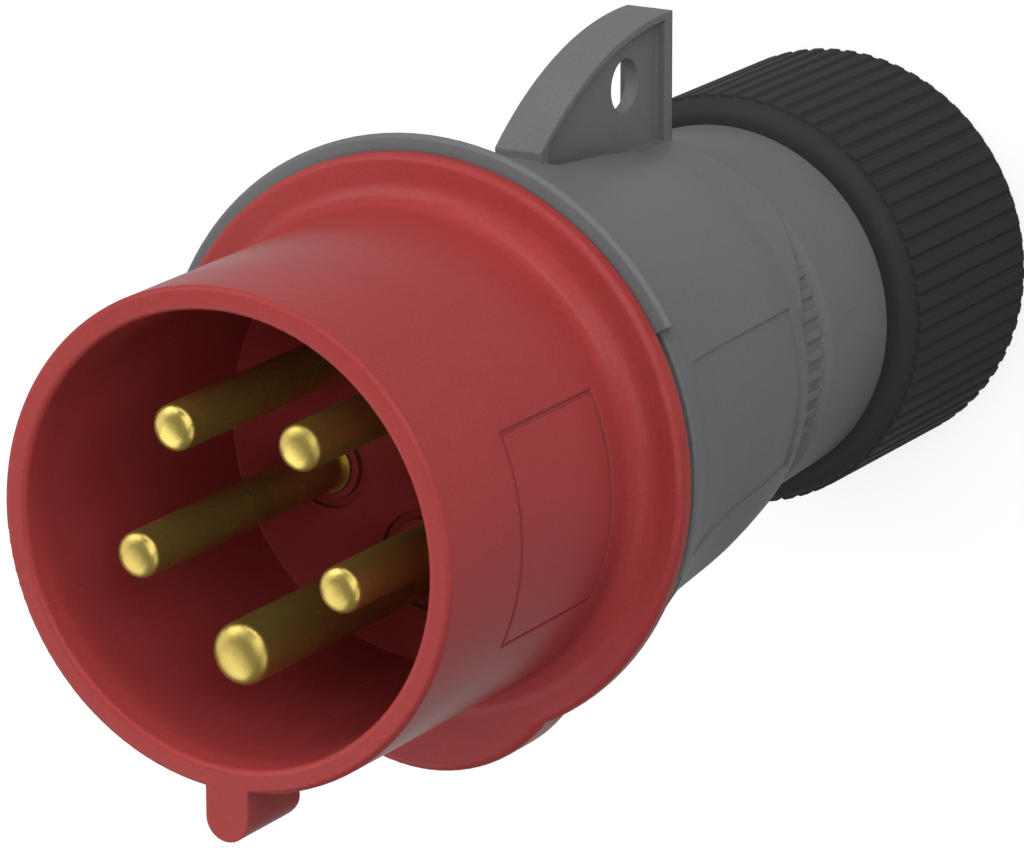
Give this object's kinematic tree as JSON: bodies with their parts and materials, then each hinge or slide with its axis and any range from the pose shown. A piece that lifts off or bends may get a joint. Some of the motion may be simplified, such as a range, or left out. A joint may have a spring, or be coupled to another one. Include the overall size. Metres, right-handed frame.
{
  "type": "industrial pin and sleeve plug",
  "caption": "Round industrial pin and sleeve plug with a shrouded pin cavity, key nub, bayonet housing with a retention fin, and a ribbed cable gland nut.",
  "frame": {"origin": "on the plug's axis at the rear face of the gland nut, on which the plug stands", "axes": "+Z along the axis towards the pins, +Y towards the retention fin, -Y towards the key nub, +X towards the side with the bare panels"},
  "size_m": [0.0764, 0.0882, 0.1633],
  "materials": {
    "red_plastic": "satin moulded",
    "grey_plastic": "fine matt moulded",
    "nut_plastic": "matt moulded",
    "carrier_plastic": "matt moulded",
    "natural_plastic": "natural nylon",
    "black_rubber": "matt",
    "pin_brass": "turned",
    "screw_steel": "zinc plated"
  },
  "bodies": {
    "housing": {"housing": "grey_plastic", "clamp_cage": "natural_plastic", "cable_seal": "black_rubber"},
    "front": {"sleeve_body": "red_plastic", "contact_carrier": "carrier_plastic", "pin_l1": "pin_brass", "pin_l2": "pin_brass", "pin_l3": "pin_brass", "pin_neutral": "pin_brass", "pin_earth": "pin_brass", "retaining_plate": "carrier_plastic", "carrier_screws": "screw_steel", "terminal_screws": "screw_steel", "joint_gasket": "black_rubber"},
    "catch": {"lock_catch": "red_plastic"},
    "ring": {"thrust_ring": "natural_plastic"},
    "nut": {"gland_nut": "nut_plastic"}
  },
  "joints": [
    {"name": "front_twist", "type": "hinge", "parent": "housing", "child": "front", "pos_m": [0, 0, 0.1129], "axis": [0, 0, -1], "range_deg": [0, 25]},
    {"name": "catch_press", "type": "slide", "parent": "front", "child": "catch", "axis": [0, 1, 0], "range_m": [0, 0.0016], "stiffness_N_per_m": 400, "springref_m": -0.002},
    {"name": "ring_slide", "type": "slide", "parent": "housing", "child": "ring", "axis": [0, 0, -1], "range_m": [0, 0.0091]},
    {"name": "nut_turn", "type": "hinge", "parent": "ring", "child": "nut", "pos_m": [0, 0, 0.018], "axis": [0, 0, -1], "range_deg": [0, 1080]}
  ],
  "couplings": [
    {"joint": "ring_slide", "follows": "nut_turn", "m_per_rad": 0.000477}
  ]
}
